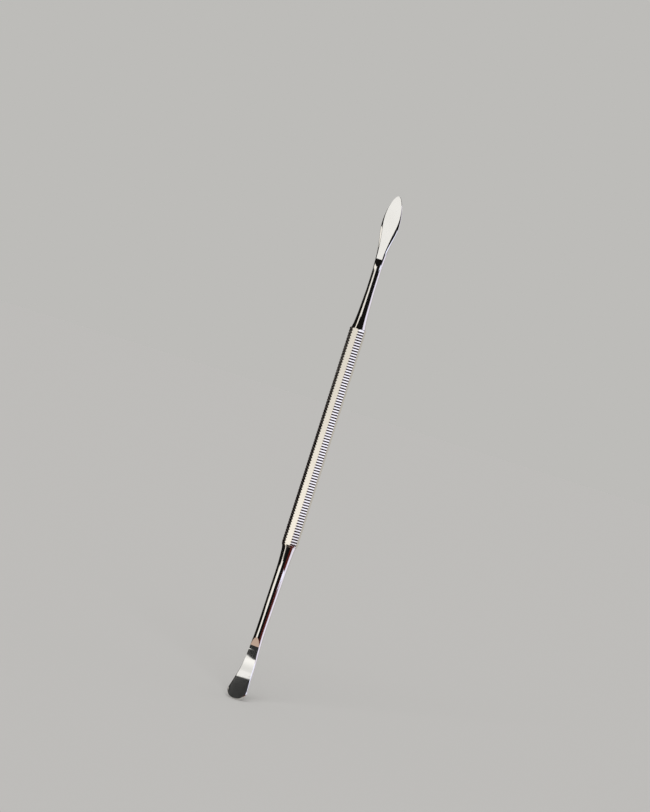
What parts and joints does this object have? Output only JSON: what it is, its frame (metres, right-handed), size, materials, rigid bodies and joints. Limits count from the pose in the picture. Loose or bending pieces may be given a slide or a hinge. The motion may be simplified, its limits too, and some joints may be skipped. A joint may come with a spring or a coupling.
{
  "type": "sugaring spatula",
  "caption": "Double-ended steel hand spatula: octagonal serrated handle, a pointed leaf blade at one end and a round-ended, forward-curved spoon blade at the other.",
  "frame": {"origin": "centre of the bounding box's bottom, level with the lowest point of the spoon blade's round end", "axes": "+Z runs along the handle from the spoon end up to the leaf end, -Y is the front, to which both blades face and bow, and the blades' width lies along X"},
  "size_m": [0.007, 0.0104, 0.175],
  "materials": {
    "handle_steel": "polished",
    "leaf_steel": "polished",
    "spoon_steel": "polished"
  },
  "bodies": {
    "root": {"handle": "handle_steel", "leaf_end": "leaf_steel", "spoon_end": "spoon_steel"}
  },
  "joints": []
}
